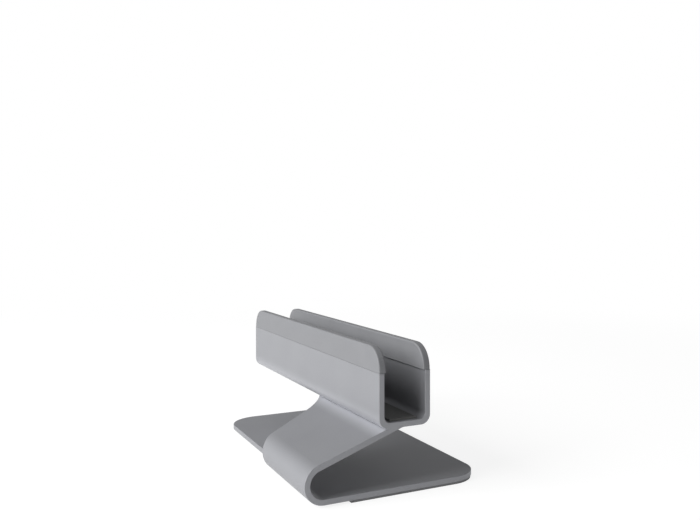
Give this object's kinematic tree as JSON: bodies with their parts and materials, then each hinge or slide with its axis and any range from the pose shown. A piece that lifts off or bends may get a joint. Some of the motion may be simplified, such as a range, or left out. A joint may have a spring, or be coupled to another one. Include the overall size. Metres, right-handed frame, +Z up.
{
  "type": "vertical laptop stand",
  "caption": "Aluminium stand that holds a closed laptop on its edge in a silicone-lipped channel, carried over a flat base by a forward bend and sloping web.",
  "frame": {"origin": "middle of the stand's footprint box, on the desk, at the underside of the rubber strips", "axes": "+X along the slot to its right end, -Y to the front where the bend is, +Z up"},
  "size_m": [0.248, 0.1212, 0.0897],
  "materials": {
    "anodised_aluminium": "bead-blasted and anodised space grey, satin",
    "lip_silicone": "matt grey silicone",
    "pad_silicone": "matt grey silicone",
    "base_rubber": "matt dark grey rubber"
  },
  "bodies": {
    "root": {"stand_body": "anodised_aluminium", "front_lip_cap": "lip_silicone", "rear_lip_cap": "lip_silicone", "slot_floor_pad": "pad_silicone", "base_pad_right": "base_rubber", "base_pad_left": "base_rubber"}
  },
  "joints": []
}
